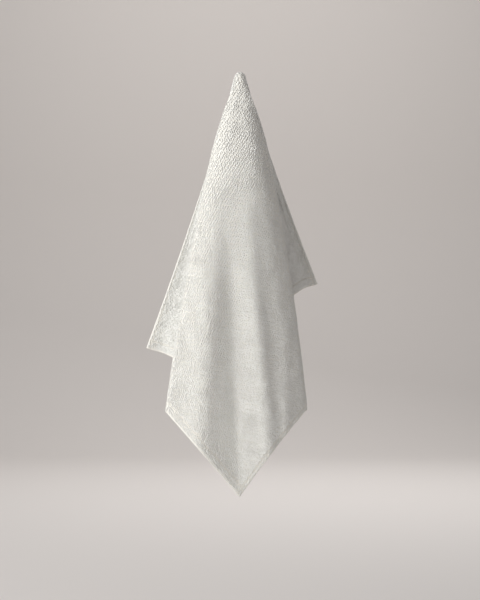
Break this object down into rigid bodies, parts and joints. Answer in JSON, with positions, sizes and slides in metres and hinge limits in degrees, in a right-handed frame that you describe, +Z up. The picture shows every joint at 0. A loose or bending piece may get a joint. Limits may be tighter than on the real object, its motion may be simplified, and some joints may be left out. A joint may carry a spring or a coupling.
{
  "type": "hand towel",
  "caption": "White terry hand towel hanging in soft folds from one point near the middle of a long side, for drying hands or dishes.",
  "frame": {"origin": "middle of the short ridge at the top where the cloth lies over what holds it, halfway through the cloth", "axes": "+Z up; -Y is the towel's front and +Y the side of the wall; +X is to the right as seen from the front"},
  "size_m": [0.2195, 0.0604, 0.5352],
  "materials": {
    "terry": "matte looped cotton terry, with flat stitched hems"
  },
  "bodies": {
    "root": {"towel": "terry"}
  },
  "joints": []
}
